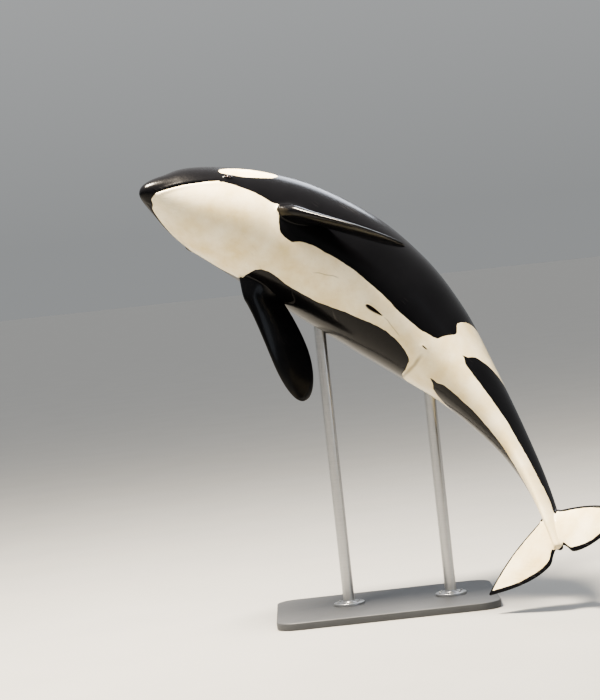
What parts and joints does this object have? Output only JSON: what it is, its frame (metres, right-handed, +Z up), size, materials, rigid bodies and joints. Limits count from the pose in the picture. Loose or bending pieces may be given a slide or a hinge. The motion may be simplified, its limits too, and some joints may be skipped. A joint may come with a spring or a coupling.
{
  "type": "orca",
  "caption": "Life-size orca in a leaping, belly-bent pose with drooped paddle flippers, tall dorsal fin and flukes, held on a flat base by upright rods.",
  "frame": {"origin": "middle of the whole part's box, at the underside of the stand's base", "axes": "+Z up; +X runs from the snout towards the tail; +Y points away from the belly's side, towards the dorsal fin's side"},
  "size_m": [4.6194, 3.722, 4.9884],
  "materials": {
    "skin_black": "smooth wet skin, glossy, near black with a faint blue cast",
    "skin_white": "smooth wet skin, glossy, warm creamy white",
    "eye": "wet, dark brown",
    "base_paint": "satin powder coat, dark grey",
    "rod_steel": "satin brushed tube"
  },
  "bodies": {
    "root": {"head": "skin_black", "lower_jaw": "skin_white", "chest": "skin_black", "midriff": "skin_black", "loin": "skin_black", "tail_stock": "skin_black", "dorsal_fin": "skin_black", "flipper_left": "skin_black", "flipper_right": "skin_black", "fluke_left": "skin_white", "fluke_right": "skin_white", "eye_left": "eye", "eye_right": "eye", "stand_base": "base_paint", "stand_foot_front": "rod_steel", "stand_rod_front": "rod_steel", "stand_foot_rear": "rod_steel", "stand_rod_rear": "rod_steel"}
  },
  "joints": []
}
